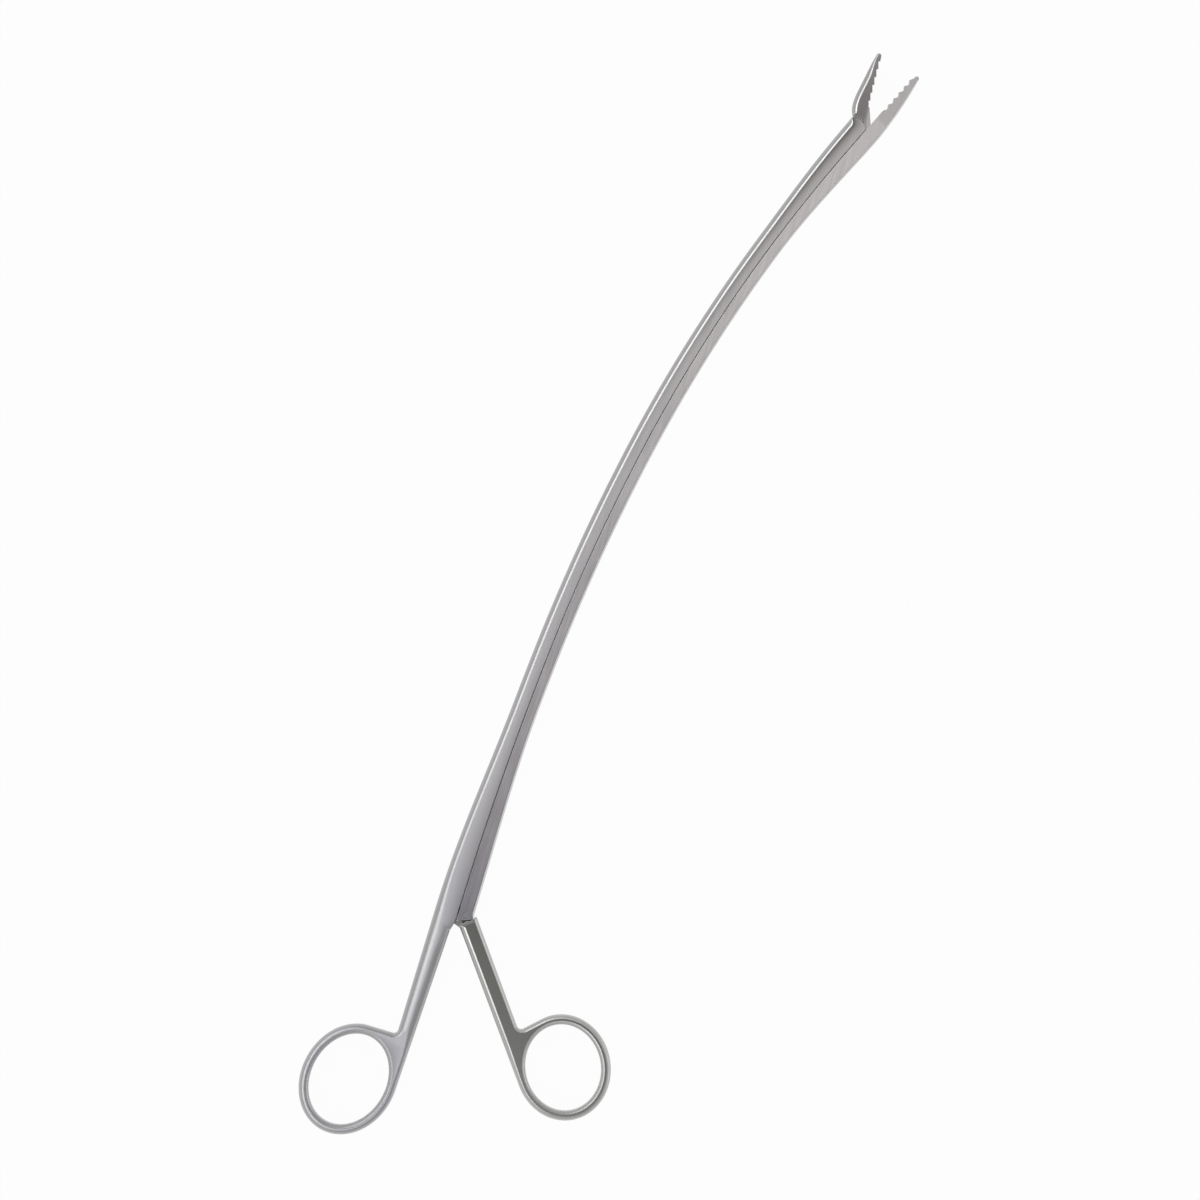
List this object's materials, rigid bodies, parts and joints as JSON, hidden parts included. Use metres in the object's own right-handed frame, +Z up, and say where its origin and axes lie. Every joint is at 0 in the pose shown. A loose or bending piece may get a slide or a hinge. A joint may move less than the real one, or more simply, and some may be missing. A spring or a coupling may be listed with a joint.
{
  "type": "chest tube passer",
  "caption": "Long curved surgical passer: two slim bars that slide along each other, a serrated jaw pair hinged at the tip and two finger ring handles at the near end.",
  "frame": {"origin": "underside of the outer bar, 12 mm ahead of the seam's near end and 3.1 mm to the outer side of the seam", "axes": "+X forward along the start of the seam, towards the jaws; +Y to the outer side of the curve; +Z up, out of the flat side"},
  "size_m": [0.3387, 0.0857, 0.0056],
  "materials": {
    "outer_steel": "satin",
    "inner_steel": "satin",
    "jaw_steel": "satin",
    "handle_steel": "satin",
    "pin_steel": "satin"
  },
  "bodies": {
    "outer": {"outer_bar": "outer_steel", "handle_pivot_pin": "pin_steel", "jaw_drive_pin": "pin_steel", "guide_stud_proximal": "pin_steel", "guide_stud_middle": "pin_steel", "guide_stud_distal": "pin_steel"},
    "slider": {"inner_bar": "inner_steel", "handle_drive_pin": "pin_steel", "jaw_pivot_pin": "pin_steel"},
    "handle": {"moving_handle": "handle_steel"},
    "jaw": {"moving_jaw": "jaw_steel"}
  },
  "joints": [
    {"name": "handle_pivot", "type": "hinge", "parent": "outer", "child": "handle", "pos_m": [-0.01225, -0.00135, 0.0028], "axis": [0, 0, -1], "range_deg": [0, 28.5]},
    {"name": "bar_travel", "type": "hinge", "parent": "outer", "child": "slider", "pos_m": [0.01249, -0.55944, 0.0028], "axis": [0, 0, 1], "range_deg": [0, 0.2161]},
    {"name": "jaw_pivot", "type": "hinge", "parent": "slider", "child": "jaw", "pos_m": [0.23285, -0.04996, 0.0028], "axis": [0, 0, -1], "range_deg": [0, 26.6]}
  ],
  "couplings": [
    {"joint": "bar_travel", "follows": "handle_pivot", "ratio": 0.00758},
    {"joint": "jaw_pivot", "follows": "handle_pivot", "ratio": 0.9333}
  ]
}
